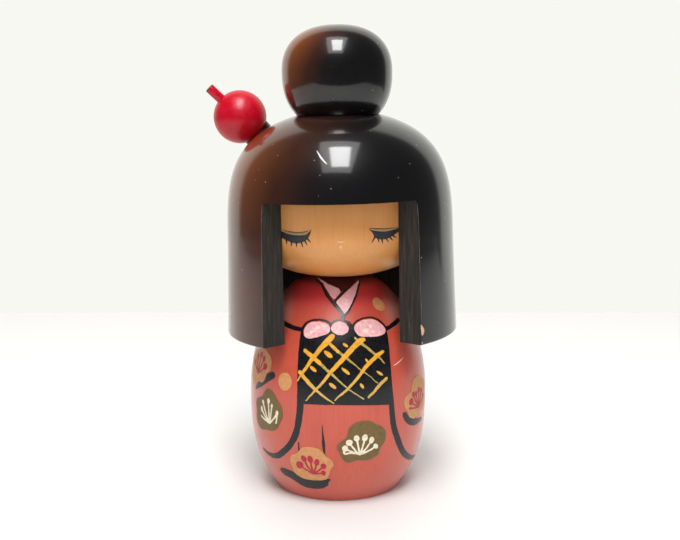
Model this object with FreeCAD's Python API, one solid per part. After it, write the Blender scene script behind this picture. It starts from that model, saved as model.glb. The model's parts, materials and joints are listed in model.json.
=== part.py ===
"""Turned-wood kokeshi doll, 119 mm tall: eight separate pieces, each in its own STEP file.

Millimetres, +Z up, the face towards -Y. The origin is the centre of the flat foot.
"""
import FreeCAD, Part
import math
import os

Vector = FreeCAD.Vector
UP = Vector(0, 0, 1)
CENTRE = Vector(0, 0, 0)

# Body: a barrel turned on the lathe, flat at the foot and at the neck.
FOOT_RADIUS = 16.4
FOOT_ROUNDING = 0.5
BELLY_RADIUS = 23.0
BELLY_HEIGHT = 25.6
BELLY_POWER = 3
SHOULDER_RISE = 32.0
BODY_TOP = 55.7

# Face core: a plug of bare wood with a rounded chin, glued into the hair cap.
FACE_RADIUS = 23.3
CHIN_START = 68.5
CHIN_DEPTH = 12.8
CHIN_POWER = 2.3
FACE_UNDERSIDE = 56.05
FACE_TOP = 81.9

# The head's dowel hole is drilled a little off its own axis, so the head leans and sits to one side.
HEAD_LEAN = 1.2
HEAD_SHIFT = 0.8

# Hair cap: a hollow turned shell with a sawn window in front of the face.
GLUE_GAP = 0.1
CAP_RIM = 41.5
CAP_RIM_RADIUS = 29.75
CAP_RIM_ROUNDING = 0.4
CAP_WAIST = 53.6
CAP_WAIST_RADIUS = 29.4
CAP_SIDE_RADIUS = 29.0
CAP_SIDE_TOP = 52.6
CAP_POLE = 97.78
CAP_RISE_POWER = 5.16
CAP_RADIUS_POWER = 1.92
CAP_DOME_START = 0.3
CAP_SEAT = 96.5
CAP_BORE_TOP = 82.0

# The window: two upright saw cuts that meet inside the bore, and a level cut under the fringe.
FRINGE = 76.5
CUT_APEX_Y = -7.15
CUT_HALF_ANGLE = 50.6
CUT_REACH = 40.0

# Bun: a turned ball with a flat seat, pinned to the cap by a short dowel.
BUN_RADIUS = 13.96
BUN_MIDDLE = 107.0
BUN_RISE = 11.8
BUN_DROP = 14.3
BUN_POWER = 2.34
BUN_SEAT = 96.55
BUN_DOWEL_RADIUS = 3.0
BUN_DOWEL_LOW = 89.5
BUN_DOWEL_HIGH = 104.5

# Neck dowel: glued into the body, and the head turns on its upper end.
NECK_DOWEL_RADIUS = 4.0
NECK_DOWEL_LOW = 43.0
NECK_DOWEL_HIGH = 67.5
DOWEL_FIT = 0.05
DOWEL_END_GAP = 0.5
DOWEL_CHAMFER = 0.5

# Hairpin: a round stick through a ball, pushed into a slanting hole in the cap.
BEAD_RADIUS = 6.85
BEAD_CENTRE = Vector(-25.5, 7.0, 95.75)
PIN_ELEVATION = 43.2
PIN_FORWARD = 15.0
STICK_RADIUS = 1.25
STICK_OUTER = 10.9
STICK_INNER = 15.2
STICK_HOLE_INNER = 15.6
STICK_ROUNDING = 0.2

# A cutter reaches this far past the surface that it opens.
OVERSHOOT = 1.0

CURVE_STEPS = 12


def superellipse(radius, height, radius_power, height_power, start=0.0):
    """(radius, rise) points from the widest place, or from the share start of the rise, to the pole."""
    points = []
    first = math.asin(start ** (height_power / 2.0))
    for step in range(CURVE_STEPS + 1):
        angle = first + (math.pi / 2 - first) * step / CURVE_STEPS
        across = radius * max(math.cos(angle), 0.0) ** (2.0 / radius_power)
        rise = height * math.sin(angle) ** (2.0 / height_power)
        points.append((across, rise))
    return points


def cut_at(points, limit):
    """The part of a rising (radius, rise) curve under the limit, ended exactly on it."""
    kept = []
    for (r0, z0), (r1, z1) in zip(points, points[1:]):
        kept.append((r0, z0))
        if z1 >= limit:
            share = (limit - z0) / (z1 - z0)
            kept.append((r0 + (r1 - r0) * share, limit))
            return kept
    return kept


def smooth(points):
    """One smooth edge through (radius, height) points in the XZ plane."""
    curve = Part.BSplineCurve()
    curve.interpolate([Vector(r, 0, z) for r, z in points])
    return curve.toShape()


def line(start, end):
    """A straight edge between two (radius, height) points."""
    return Part.makeLine(Vector(start[0], 0, start[1]), Vector(end[0], 0, end[1]))


def turned(edges):
    """The solid turned from a closed outline beside the axis."""
    face = Part.Face(Part.Wire(Part.__sortEdges__(edges)))
    solid = face.revolve(CENTRE, UP, 360)
    return solid if isinstance(solid, Part.Solid) else Part.Solid(solid)


def rod(radius, low, high):
    """An upright round rod on the axis with a small chamfer at both ends."""
    solid = Part.makeCylinder(radius, high - low, Vector(0, 0, low), UP)
    ends = [edge for edge in solid.Edges if isinstance(edge.Curve, Part.Circle)]
    return solid.makeChamfer(DOWEL_CHAMFER, ends)


def pin_direction():
    """The direction in which the hairpin points out of the hair: up, to the left and a little forward."""
    tilt = math.radians(PIN_ELEVATION)
    turn = math.radians(PIN_FORWARD)
    return Vector(-math.cos(tilt) * math.cos(turn), -math.cos(tilt) * math.sin(turn), math.sin(tilt))


def rod_along_pin(radius, inner, outer):
    """A round rod on the hairpin's axis, from inner mm behind the ball's centre to outer mm beyond."""
    out = pin_direction()
    return Part.makeCylinder(radius, inner + outer, BEAD_CENTRE - out * inner, out)


def lean(shape):
    """A head piece, made upright on the axis, moved to where the head's crooked dowel hole puts it."""
    shape.rotate(Vector(0, 0, BODY_TOP), Vector(0, 1, 0), -HEAD_LEAN)
    shape.translate(Vector(HEAD_SHIFT, 0, 0))
    return shape


def body():
    """The painted barrel, with a blind hole for the neck dowel."""
    swell = BELLY_RADIUS - FOOT_RADIUS
    lower = []
    for step in range(CURVE_STEPS + 1):
        height = FOOT_ROUNDING + (BELLY_HEIGHT - FOOT_ROUNDING) * step / CURVE_STEPS
        drop = (BELLY_HEIGHT - height) / BELLY_HEIGHT
        lower.append((FOOT_RADIUS + swell * (1 - drop ** BELLY_POWER), height))
    shoulder_end = math.asin((BODY_TOP - BELLY_HEIGHT) / SHOULDER_RISE)
    upper = []
    for step in range(1, CURVE_STEPS + 1):
        angle = shoulder_end * step / CURVE_STEPS
        upper.append((BELLY_RADIUS * math.cos(angle), BELLY_HEIGHT + SHOULDER_RISE * math.sin(angle)))
    foot = (lower[0][0] - FOOT_ROUNDING, 0.0)
    neck = upper[-1]
    halfway = FOOT_ROUNDING * math.sin(math.pi / 4)
    rounding = Part.Arc(Vector(foot[0], 0, 0),
                        Vector(foot[0] + halfway, 0, FOOT_ROUNDING - halfway),
                        Vector(lower[0][0], 0, FOOT_ROUNDING)).toShape()
    solid = turned([line((0, 0), foot), rounding, smooth(lower + upper),
                    line(neck, (0, BODY_TOP)), line((0, BODY_TOP), (0, 0))])
    depth = BODY_TOP - NECK_DOWEL_LOW + DOWEL_END_GAP
    hole = Part.makeCylinder(NECK_DOWEL_RADIUS + DOWEL_FIT, depth + OVERSHOOT,
                             Vector(0, 0, BODY_TOP - depth), UP)
    return solid.cut(hole)


def head_core():
    """The bare wooden face with its rounded chin, and a blind hole that turns on the neck dowel."""
    chin = superellipse(FACE_RADIUS, CHIN_DEPTH, CHIN_POWER, CHIN_POWER)
    chin = cut_at(chin, CHIN_START - FACE_UNDERSIDE)
    outline = [(radius, CHIN_START - drop) for radius, drop in chin]
    solid = turned([smooth(outline), line(outline[0], (FACE_RADIUS, FACE_TOP)),
                    line((FACE_RADIUS, FACE_TOP), (0, FACE_TOP)), line((0, FACE_TOP), (0, FACE_UNDERSIDE)),
                    line((0, FACE_UNDERSIDE), outline[-1])])
    depth = NECK_DOWEL_HIGH + DOWEL_END_GAP - FACE_UNDERSIDE
    hole = Part.makeCylinder(NECK_DOWEL_RADIUS + DOWEL_FIT, depth + OVERSHOOT,
                             Vector(0, 0, FACE_UNDERSIDE - OVERSHOOT), UP)
    return lean(solid).cut(hole)


def window_cutter():
    """The wedge that the saw takes out of the cap, from below the rim up to the fringe."""
    half_width = CUT_REACH * math.tan(math.radians(CUT_HALF_ANGLE))
    low = CAP_RIM - OVERSHOOT
    corners = [Vector(0, CUT_APEX_Y, low),
               Vector(half_width, CUT_APEX_Y - CUT_REACH, low),
               Vector(-half_width, CUT_APEX_Y - CUT_REACH, low)]
    wedge = Part.Face(Part.makePolygon(corners + corners[:1]))
    return wedge.extrude(Vector(0, 0, FRINGE - low))


def hair_cap():
    """The lacquered hair: bored from below, sawn open at the face, drilled for the bun and the pin."""
    dome = superellipse(CAP_SIDE_RADIUS, CAP_POLE - CAP_SIDE_TOP, CAP_RADIUS_POWER, CAP_RISE_POWER,
                        CAP_DOME_START)
    dome = cut_at(dome, CAP_SEAT - CAP_SIDE_TOP)
    skin = [(CAP_RIM_RADIUS, CAP_RIM + CAP_RIM_ROUNDING), (CAP_WAIST_RADIUS, CAP_WAIST)]
    skin += [(radius, CAP_SIDE_TOP + rise) for radius, rise in dome]
    bore = FACE_RADIUS + GLUE_GAP
    rim_outer = (CAP_RIM_RADIUS - CAP_RIM_ROUNDING, CAP_RIM)
    solid = turned([line((bore, CAP_RIM), rim_outer), line(rim_outer, skin[0]), smooth(skin),
                    line(skin[-1], (0, CAP_SEAT)), line((0, CAP_SEAT), (0, CAP_BORE_TOP)),
                    line((0, CAP_BORE_TOP), (bore, CAP_BORE_TOP)),
                    line((bore, CAP_BORE_TOP), (bore, CAP_RIM))])
    solid = solid.cut(window_cutter())
    hole_end = BUN_DOWEL_LOW - DOWEL_END_GAP
    dowel_hole = Part.makeCylinder(BUN_DOWEL_RADIUS + DOWEL_FIT, CAP_SEAT - hole_end + OVERSHOOT,
                                   Vector(0, 0, hole_end), UP)
    stick_hole = rod_along_pin(STICK_RADIUS + DOWEL_FIT, STICK_HOLE_INNER, 0)
    return lean(solid.cut(dowel_hole)).cut(stick_hole)


def hair_bun():
    """The topknot ball, with a flat seat and a blind hole for its dowel."""
    rise = superellipse(BUN_RADIUS, BUN_RISE, BUN_POWER, BUN_POWER)
    drop = cut_at(superellipse(BUN_RADIUS, BUN_DROP, BUN_POWER, BUN_POWER), BUN_MIDDLE - BUN_SEAT)
    outline = [(radius, BUN_MIDDLE - down) for radius, down in reversed(drop[1:])]
    outline += [(radius, BUN_MIDDLE + up) for radius, up in rise]
    pole = (0, BUN_MIDDLE + BUN_RISE)
    outline[-1] = pole
    solid = turned([smooth(outline), line(pole, (0, BUN_SEAT)), line((0, BUN_SEAT), outline[0])])
    depth = BUN_DOWEL_HIGH + DOWEL_END_GAP - BUN_SEAT
    hole = Part.makeCylinder(BUN_DOWEL_RADIUS + DOWEL_FIT, depth + OVERSHOOT,
                             Vector(0, 0, BUN_SEAT - OVERSHOOT), UP)
    return lean(solid.cut(hole))


def hairpin_stick():
    """The thin round stick, with softened ends."""
    solid = rod_along_pin(STICK_RADIUS, STICK_INNER, STICK_OUTER)
    ends = [edge for edge in solid.Edges if isinstance(edge.Curve, Part.Circle)]
    return solid.makeFillet(STICK_ROUNDING, ends)


def hairpin_bead():
    """The round ball, drilled through for the stick."""
    ball = Part.makeSphere(BEAD_RADIUS, BEAD_CENTRE)
    reach = BEAD_RADIUS + OVERSHOOT
    hole = rod_along_pin(STICK_RADIUS + DOWEL_FIT, reach, reach)
    return ball.cut(hole)


def neck_dowel():
    """The peg that joins body and head."""
    return rod(NECK_DOWEL_RADIUS, NECK_DOWEL_LOW, NECK_DOWEL_HIGH)


def bun_dowel():
    """The peg glued between hair cap and bun."""
    return lean(rod(BUN_DOWEL_RADIUS, BUN_DOWEL_LOW, BUN_DOWEL_HIGH))


os.makedirs("parts", exist_ok=True)
for make in (body, neck_dowel, head_core, hair_cap, hair_bun, bun_dowel, hairpin_stick, hairpin_bead):
    shape = make()
    shape.exportStep("parts/" + make.__name__ + ".step")
    box = shape.BoundBox
    print(f"{make.__name__:14s} solids {len(shape.Solids)} valid {shape.isValid()} "
          f"volume {shape.Volume:9.1f} z {box.ZMin:7.2f} .. {box.ZMax:7.2f}")
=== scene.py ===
"""Looks of a turned and painted kokeshi doll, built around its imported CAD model."""
import json
import math

import bpy
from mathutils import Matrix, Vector, noise
from mathutils.geometry import delaunay_2d_cdt


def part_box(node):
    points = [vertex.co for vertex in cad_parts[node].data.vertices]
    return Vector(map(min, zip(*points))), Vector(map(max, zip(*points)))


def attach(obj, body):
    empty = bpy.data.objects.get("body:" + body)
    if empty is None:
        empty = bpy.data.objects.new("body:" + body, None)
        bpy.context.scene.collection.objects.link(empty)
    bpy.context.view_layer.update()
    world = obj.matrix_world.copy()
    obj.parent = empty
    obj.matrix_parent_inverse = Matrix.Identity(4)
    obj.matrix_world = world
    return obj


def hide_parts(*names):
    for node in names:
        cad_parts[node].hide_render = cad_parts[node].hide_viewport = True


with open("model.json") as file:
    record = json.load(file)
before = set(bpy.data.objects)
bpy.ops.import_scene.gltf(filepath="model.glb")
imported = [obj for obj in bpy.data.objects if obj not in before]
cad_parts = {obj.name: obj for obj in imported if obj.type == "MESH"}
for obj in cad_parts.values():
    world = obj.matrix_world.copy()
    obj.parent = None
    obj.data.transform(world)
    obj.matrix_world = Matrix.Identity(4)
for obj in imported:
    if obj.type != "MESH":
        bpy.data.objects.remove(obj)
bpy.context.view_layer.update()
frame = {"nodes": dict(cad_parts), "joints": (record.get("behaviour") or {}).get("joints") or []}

# ---------------------------------------------------------------------------------------------
# Sizes in millimetres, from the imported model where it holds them.
# ---------------------------------------------------------------------------------------------
MM = 0.001


def corners(node):
    """Lowest and highest corner of a CAD node in millimetres."""
    low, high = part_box(node)
    return low / MM, high / MM


# Body: a barrel with a blind hole for the neck dowel.
BELLY_RADIUS = corners("body")[1].x
BODY_TOP = corners("body")[1].z
FOOT_RADIUS = 16.4
FOOT_ROUNDING = 0.5
BELLY_HEIGHT = 25.6
BELLY_POWER = 3
SHOULDER_RISE = 32.0
BODY_HOLE_BOTTOM = 43.0
DOWEL_HOLE_RADIUS = 4.1

# Face core: a plug with a rounded chin.
FACE_RADIUS = corners("head_core")[1].y
FACE_LOW = 56.05
FACE_TOP = 81.9
FACE_HOLE_TOP = 68.0
CHIN_START = 68.5
CHIN_DEPTH = 12.8
CHIN_POWER = 2.3

# Hair cap: a hollow shell, bored from below, with a wedge sawn out in front of the face.
CAP_RIM = 41.5
CAP_RIM_RADIUS = corners("hair_cap")[1].y
RIM_ROUNDING = 0.4
FLARE_TOP = 66.2
FLARE_POWER = 1.25
CAP_SIDE_RADIUS = 29.0
CAP_SIDE_TOP = 52.6
CAP_POLE = 97.78
CAP_RISE_POWER = 5.16
CAP_RADIUS_POWER = 1.92
CAP_SEAT = 96.5
CAP_BORE = FACE_RADIUS + 0.1
CAP_BORE_TOP = 82.0
FRINGE = 76.5
CUT_APEX = 7.15
CUT_HALF_ANGLE = math.radians(50.6)
EASED_EDGE = 0.22

# Topknot: a ball with a flat seat.
BUN_RADIUS = corners("hair_bun")[1].y
BUN_SEAT = 96.55
BUN_MIDDLE = 107.0
BUN_RISE = 11.8
BUN_DROP = 14.3
BUN_POWER = 2.34

# Hairpin: a ball on a round stick; the stick's lengths are measured from the ball's centre.
BEAD_LOW, BEAD_HIGH = corners("hairpin_bead")
BEAD_CENTRE = (BEAD_LOW + BEAD_HIGH) / 2
BEAD_RADIUS = (BEAD_HIGH.z - BEAD_LOW.z) / 2
PIN_OUT = Vector(next(j for j in frame["joints"] if j["name"] == "hairpin_pull")["axis"]).normalized()
STICK_RADIUS = 1.25
STICK_OUTER = 10.9
STICK_INNER = 15.2
STICK_SOFTENING = 0.25

# The head leans, because its dowel hole is drilled a little off its own axis.
HEAD_LEAN = math.radians(1.2)
HEAD_SHIFT = 0.8


def lean(point):
    """Sets a point of the upright head where the head stands: tipped to its right and moved over."""
    x, y, z = point
    rise = z - BODY_TOP
    return (x * math.cos(HEAD_LEAN) - rise * math.sin(HEAD_LEAN) + HEAD_SHIFT, y,
            BODY_TOP + x * math.sin(HEAD_LEAN) + rise * math.cos(HEAD_LEAN))


# ---------------------------------------------------------------------------------------------
# Outlines of the turned pieces: radius in mm at a height in mm.
# ---------------------------------------------------------------------------------------------


def body_radius(z):
    """The barrel: a full lower curve and an elliptical shoulder."""
    if z < BELLY_HEIGHT:
        drop = (BELLY_HEIGHT - z) / BELLY_HEIGHT
        return FOOT_RADIUS + (BELLY_RADIUS - FOOT_RADIUS) * (1 - drop ** BELLY_POWER)
    rise = (z - BELLY_HEIGHT) / SHOULDER_RISE
    return BELLY_RADIUS * math.sqrt(max(1 - rise * rise, 0.0))


def face_radius(z):
    """The face core: straight above, rounded in under the chin."""
    drop = min(max((CHIN_START - z) / CHIN_DEPTH, 0.0), 1.0)
    return FACE_RADIUS * (1 - drop ** CHIN_POWER) ** (1 / CHIN_POWER)


def cap_radius(z):
    """The hair: a faint flare at the rim, an upright side and a domed top."""
    flare = min(max((FLARE_TOP - z) / (FLARE_TOP - CAP_RIM), 0.0), 1.0)
    rise = min(max((z - CAP_SIDE_TOP) / (CAP_POLE - CAP_SIDE_TOP), 0.0), 1.0)
    dome = CAP_SIDE_RADIUS * (1 - rise ** CAP_RISE_POWER) ** (1 / CAP_RADIUS_POWER)
    return dome + (CAP_RIM_RADIUS - CAP_SIDE_RADIUS) * flare ** FLARE_POWER


def bun_radius(z):
    """The topknot: a ball drawn in towards its seat."""
    half = BUN_RISE if z > BUN_MIDDLE else BUN_DROP
    share = min(abs(z - BUN_MIDDLE) / half, 1.0)
    return BUN_RADIUS * (1 - share ** BUN_POWER) ** (1 / BUN_POWER)


OUTLINE_SAMPLES = 4000


def spaced(radius, low, high, step):
    """(radius, height) points along an outline, evenly spaced along its curve."""
    heights = [low + (high - low) * (1 - math.cos(math.pi * k / OUTLINE_SAMPLES)) / 2
               for k in range(OUTLINE_SAMPLES + 1)]
    points = [(radius(z), z) for z in heights]
    lengths = [0.0]
    for (r0, z0), (r1, z1) in zip(points, points[1:]):
        lengths.append(lengths[-1] + math.hypot(r1 - r0, z1 - z0))
    count = max(2, round(lengths[-1] / step))
    chosen = []
    index = 0
    for k in range(count + 1):
        target = lengths[-1] * k / count
        while index < OUTLINE_SAMPLES and lengths[index] < target:
            index += 1
        chosen.append(points[index])
    return chosen


# ---------------------------------------------------------------------------------------------
# Colours and material nodes.
# ---------------------------------------------------------------------------------------------


def colour(hex_value):
    """sRGB hex, such as "c8102e", to the linear colour that shaders use."""
    channels = []
    for k in (0, 2, 4):
        value = int(hex_value[k:k + 2], 16) / 255
        channels.append(value / 12.92 if value <= 0.04045 else ((value + 0.055) / 1.055) ** 2.4)
    return (*channels, 1.0)


def grey(value):
    """A grey of a linear value, for ramps that carry a measure and not a colour."""
    return (value, value, value, 1.0)


def add(tree, kind, settings=None, inputs=None):
    """Adds a node with settings and inputs; an input is a plain value, or (node, output) for a link.

    The setting "stops" holds the (position, colour) stops of a colour ramp.
    """
    made = tree.nodes.new("ShaderNode" + kind)
    for name, value in (settings or {}).items():
        if name == "stops":
            while len(made.color_ramp.elements) < len(value):
                made.color_ramp.elements.new(0.5)
            for element, (position, tint) in zip(made.color_ramp.elements, value):
                element.position, element.color = position, tint
        else:
            setattr(made, name, value)
    for key, value in (inputs or {}).items():
        if isinstance(value, tuple) and isinstance(value[0], bpy.types.Node):
            tree.links.new(value[0].outputs[value[1]], made.inputs[key])
        else:
            made.inputs[key].default_value = value
    return made


def new_finish(name):
    """An empty material with its node tree."""
    material = bpy.data.materials.new(name)
    material.use_nodes = True
    material.node_tree.nodes.clear()
    return material, material.node_tree


def close_finish(tree, shader_inputs):
    """Ends a material with one principled shader."""
    shader = add(tree, "BsdfPrincipled", None, shader_inputs)
    add(tree, "OutputMaterial", None, {"Surface": (shader, "BSDF")})


def measured(tree, width, length):
    """Object coordinates for a pattern whose features are width mm across and length mm along Z."""
    place = add(tree, "TexCoord")
    return add(tree, "Mapping", None, {"Vector": (place, "Object"), "Scale": (
        1 / (width * MM), 1 / (width * MM), 1 / (length * MM))})


def face_wood():
    """Dogwood turned across a sharp gouge, sanded and waxed: warm, fine-grained, with a soft gloss."""
    material, tree = new_finish("dogwood_turned_and_waxed")

    # Real fibres are finer; streaks of about half a millimetre show. The gouge's rings are 0.7 mm apart.
    fibre = add(tree, "TexNoise", None, {"Vector": (measured(tree, 0.4545, 14.29), "Vector"),
                                         "Scale": 1.0, "Detail": 5.0, "Roughness": 0.6})
    cloud = add(tree, "TexNoise", None, {"Vector": (measured(tree, 11.11, 20.0), "Vector"),
                                         "Scale": 1.0, "Detail": 3.0})
    rings = add(tree, "TexNoise", None, {"Vector": (measured(tree, 50.0, 0.7143), "Vector"),
                                         "Scale": 1.0, "Detail": 2.0})
    grain = add(tree, "ValToRGB", {"stops": [(0.3, colour("d9954e")), (0.5, colour("dd9a53")),
                                             (0.72, colour("e09e58"))]}, {"Fac": (fibre, "Fac")})
    age = add(tree, "ValToRGB", {"stops": [(0.3, colour("e6c4a4")), (0.7, colour("ffffff"))]},
              {"Fac": (cloud, "Fac")})
    aged = add(tree, "Mix", {"data_type": "RGBA", "blend_type": "MULTIPLY"},
               {0: 0.35, 6: (grain, "Color"), 7: (age, "Color")})
    height = add(tree, "Math", {"operation": "ADD"}, {0: (fibre, "Fac"), 1: (rings, "Fac")})
    bump = add(tree, "Bump", None, {"Strength": 0.04, "Distance": 0.05 * MM, "Height": (height, "Value")})
    close_finish(tree, {"Base Color": (aged, 2), "Roughness": 0.5, "IOR": 1.5,
                        "Coat Weight": 0.5, "Coat Roughness": 0.25, "Normal": (bump, "Normal")})
    return material


def stained_wood_with_painted_shade():
    """Dogwood dyed red and varnished: grain and turning rings show faintly through a clear gloss. Painted
    shade darkens the chest and neck under the head, and a painted reflection pales the sides under the hair.
    """
    material, tree = new_finish("dogwood_dyed_red_varnished_with_painted_shade")

    # Grain is drawn coarser than the real fibres, as on the face, and the rings are 0.8 mm apart.
    fibre = add(tree, "TexNoise", None, {"Vector": (measured(tree, 0.5556, 16.67), "Vector"),
                                         "Scale": 1.0, "Detail": 6.0, "Roughness": 0.62})
    cloud = add(tree, "TexNoise", None, {"Vector": (measured(tree, 14.29, 20.0), "Vector"),
                                         "Scale": 1.0, "Detail": 3.0})
    rings = add(tree, "TexNoise", None, {"Vector": (measured(tree, 50.0, 0.8333), "Vector"),
                                         "Scale": 1.0, "Detail": 3.0})
    dye = add(tree, "ValToRGB", {"stops": [(0.3, colour("c34e3a")), (0.5, colour("c7533e")),
                                           (0.75, colour("ca5843"))]}, {"Fac": (fibre, "Fac")})
    fading = add(tree, "ValToRGB", {"stops": [(0.32, colour("e8c8c0")), (0.68, colour("ffffff"))]},
                 {"Fac": (cloud, "Fac")})
    faded = add(tree, "Mix", {"data_type": "RGBA", "blend_type": "MULTIPLY"},
                {0: 0.5, 6: (dye, "Color"), 7: (fading, "Color")})

    # Painted shade: the chest darkens to a deep crimson and the neck to nearly black, where the head shades
    # them.
    place = add(tree, "TexCoord")
    spot = add(tree, "SeparateXYZ", None, {"Vector": (place, "Object")})
    chest = add(tree, "MapRange", {"interpolation_type": "SMOOTHSTEP"}, {
        "Value": (spot, "Z"), "From Min": 47.0 * MM, "From Max": 53.5 * MM, "To Max": 0.65})
    neck = add(tree, "MapRange", {"interpolation_type": "SMOOTHSTEP"}, {
        "Value": (spot, "Z"), "From Min": 53.6 * MM, "From Max": 55.2 * MM, "To Max": 0.7})
    crimson_shaded = add(tree, "Mix", {"data_type": "RGBA"}, {0: (chest, "Result"), 6: (faded, 2),
                                                      7: colour("cc2044")})

    # Above the sash the hair has chafed the varnish dull. The pale at both sides under the hair is a painted
    # reflection, a sheen on the grazing shoulder.
    above_sash = add(tree, "MapRange", None, {
        "Value": (spot, "Z"), "From Min": 43.0 * MM, "From Max": 48.0 * MM})
    aside = add(tree, "Math", {"operation": "ABSOLUTE"}, {0: (spot, "X")})
    under_hair = add(tree, "MapRange", {"interpolation_type": "SMOOTHSTEP"}, {
        "Value": (aside, "Value"), "From Min": 10.0 * MM, "From Max": 15.0 * MM, "To Max": 0.5})
    painted_sheen_amount = add(tree, "Math", {"operation": "MULTIPLY"}, {
        0: (under_hair, "Result"), 1: (above_sash, "Result")})
    # Painted reflection: a pale sheen mixed in at both sides of the chest, under the hair.
    with_painted_sheen = add(tree, "Mix", {"data_type": "RGBA"}, {0: (painted_sheen_amount, "Value"), 6: (crimson_shaded, 2),
                                                      7: colour("dcb4a4")})
    # Painted shade: the neck under the chin is mixed towards nearly black.
    neck_shaded = add(tree, "Mix", {"data_type": "RGBA"}, {0: (neck, "Result"), 6: (with_painted_sheen, 2),
                                                      7: colour("30101a")})
    dullness = add(tree, "Math", {"operation": "MULTIPLY_ADD"},
                   {0: (above_sash, "Result"), 1: 0.18, 2: 0.24})
    varnish = add(tree, "Math", {"operation": "MULTIPLY_ADD"},
                  {0: (above_sash, "Result"), 1: -0.5, 2: 1.0})

    height = add(tree, "Math", {"operation": "ADD"}, {0: (fibre, "Fac"), 1: (rings, "Fac")})
    bump = add(tree, "Bump", None, {"Strength": 0.05, "Distance": 0.05 * MM, "Height": (height, "Value")})
    close_finish(tree, {"Base Color": (neck_shaded, 2), "Roughness": 0.45, "IOR": 1.5,
                        "Specular IOR Level": 0.25, "Coat Weight": (varnish, "Value"),
                        "Coat Roughness": (dullness, "Value"), "Normal": (bump, "Normal")})
    return material


def hair_lacquer(name, brown_reach):
    """Black lacquer polished on the lathe: deep gloss, faint turning ripples and specks of dust.

    It is brown where it faces up and to the left, and black elsewhere; brown_reach says how far round the
    brown reaches.
    """
    material, tree = new_finish(name)
    place = add(tree, "TexCoord")
    facing = add(tree, "SeparateXYZ", None, {"Vector": (place, "Normal")})
    cloud = add(tree, "TexNoise", None, {"Vector": (measured(tree, 16.67, 16.67), "Vector"),
                                         "Scale": 1.0, "Detail": 3.0})
    shade = add(tree, "Math", {"operation": "MULTIPLY_ADD"}, {0: (facing, "Z"), 1: -0.5, 2: (facing, "X")})
    drift = add(tree, "Math", {"operation": "MULTIPLY_ADD"},
                {0: (cloud, "Fac"), 1: 0.3, 2: (shade, "Value")})
    kept = add(tree, "MapRange", None, {
        "Value": (drift, "Value"), "From Min": brown_reach - 1.0, "From Max": brown_reach + 0.1})
    tint = add(tree, "ValToRGB", {"stops": [
        (0.0, colour("743c18")), (0.18, colour("592f19")), (0.38, colour("351c13")),
        (0.64, colour("171112")), (0.9, colour("0d0d0f"))]}, {"Fac": (kept, "Result")})

    # Real dust is finer than this; specks a fifth of a millimetre across are the smallest that show.
    grains = add(tree, "TexVoronoi", None, {"Vector": (measured(tree, 2.857, 2.857), "Vector"),
                                            "Scale": 1.0})
    dust = add(tree, "Math", {"operation": "LESS_THAN"}, {0: (grains, "Distance"), 1: 0.04})
    dusty = add(tree, "Mix", {"data_type": "RGBA"}, {0: (dust, "Value"), 6: (tint, "Color"),
                                                     7: colour("a8a49c")})

    # The turning ripples are 2 mm apart.
    ripple = add(tree, "TexNoise", None, {"Vector": (measured(tree, 20.0, 2.0), "Vector"),
                                          "Scale": 1.0, "Detail": 2.0})
    bump = add(tree, "Bump", None, {"Strength": 0.05, "Distance": 0.05 * MM, "Height": (ripple, "Fac")})
    close_finish(tree, {"Base Color": (dusty, 2), "Roughness": 0.36, "IOR": 1.5,
                        "Specular IOR Level": 0.12, "Coat Weight": 1.0, "Coat Roughness": 0.1,
                        "Normal": (bump, "Normal")})
    return material


def sawn_hair():
    """The sawn faces of the cap, brushed once with thin black stain: dull, streaky and scratched."""
    material, tree = new_finish("sawn_wood_stained_black")

    # The teeth of a saw mark the wood more finely; streaks of 0.6 mm are about the finest that show.
    streak = add(tree, "TexNoise", None, {"Vector": (measured(tree, 0.625, 8.333), "Vector"),
                                          "Scale": 1.0, "Detail": 6.0, "Roughness": 0.7})
    tint = add(tree, "ValToRGB", {"stops": [
        (0.3, colour("161614")), (0.5, colour("24221f")), (0.66, colour("40352c")),
        (0.78, colour("665a4c"))]}, {"Fac": (streak, "Fac")})
    bump = add(tree, "Bump", None, {"Strength": 0.4, "Distance": 0.08 * MM, "Height": (streak, "Fac")})
    close_finish(tree, {"Base Color": (tint, "Color"), "Roughness": 0.62, "IOR": 1.45,
                        "Normal": (bump, "Normal")})
    return material


def brushed(name, thin, even, thick, roughness, ridge=0.06, thinned=None):
    """Paint laid, or wear left, by hand: its colour and gloss vary with the thickness of the coat.

    thin, even and thick are its colours, ridge is the height of the brush marks in mm, and thinned is
    the colour that it fades to where the brush ran dry, towards the sash's lower edge.
    """
    material, tree = new_finish(name)

    # A brush's hairs leave finer marks; patches of 0.9 mm are coarse enough to show.
    brush = add(tree, "TexNoise", None, {"Vector": (measured(tree, 0.9091, 0.9091), "Vector"),
                                         "Scale": 1.0, "Detail": 5.0, "Roughness": 0.6})
    coat = add(tree, "ValToRGB", {"stops": [(0.3, colour(thin)), (0.5, colour(even)),
                                            (0.7, colour(thick))]}, {"Fac": (brush, "Fac")})
    tint = (coat, "Color")
    if thinned:
        place = add(tree, "TexCoord")
        spot = add(tree, "SeparateXYZ", None, {"Vector": (place, "Object")})
        drained = add(tree, "MapRange", None, {
            "Value": (spot, "Z"), "From Min": 36.0 * MM, "From Max": 29.0 * MM, "To Max": 0.8})
        faded = add(tree, "Mix", {"data_type": "RGBA"}, {0: (drained, "Result"), 6: (coat, "Color"),
                                                         7: colour(thinned)})
        tint = (faded, 2)
    gloss = add(tree, "ValToRGB", {"stops": [(0.3, grey(roughness - 0.06)), (0.7, grey(roughness + 0.06))]},
                {"Fac": (brush, "Fac")})
    bump = add(tree, "Bump", None, {"Strength": 0.3, "Distance": ridge * MM, "Height": (brush, "Fac")})
    close_finish(tree, {"Base Color": tint, "Roughness": (gloss, "Color"), "IOR": 1.47,
                        "Normal": (bump, "Normal")})
    return material


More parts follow.
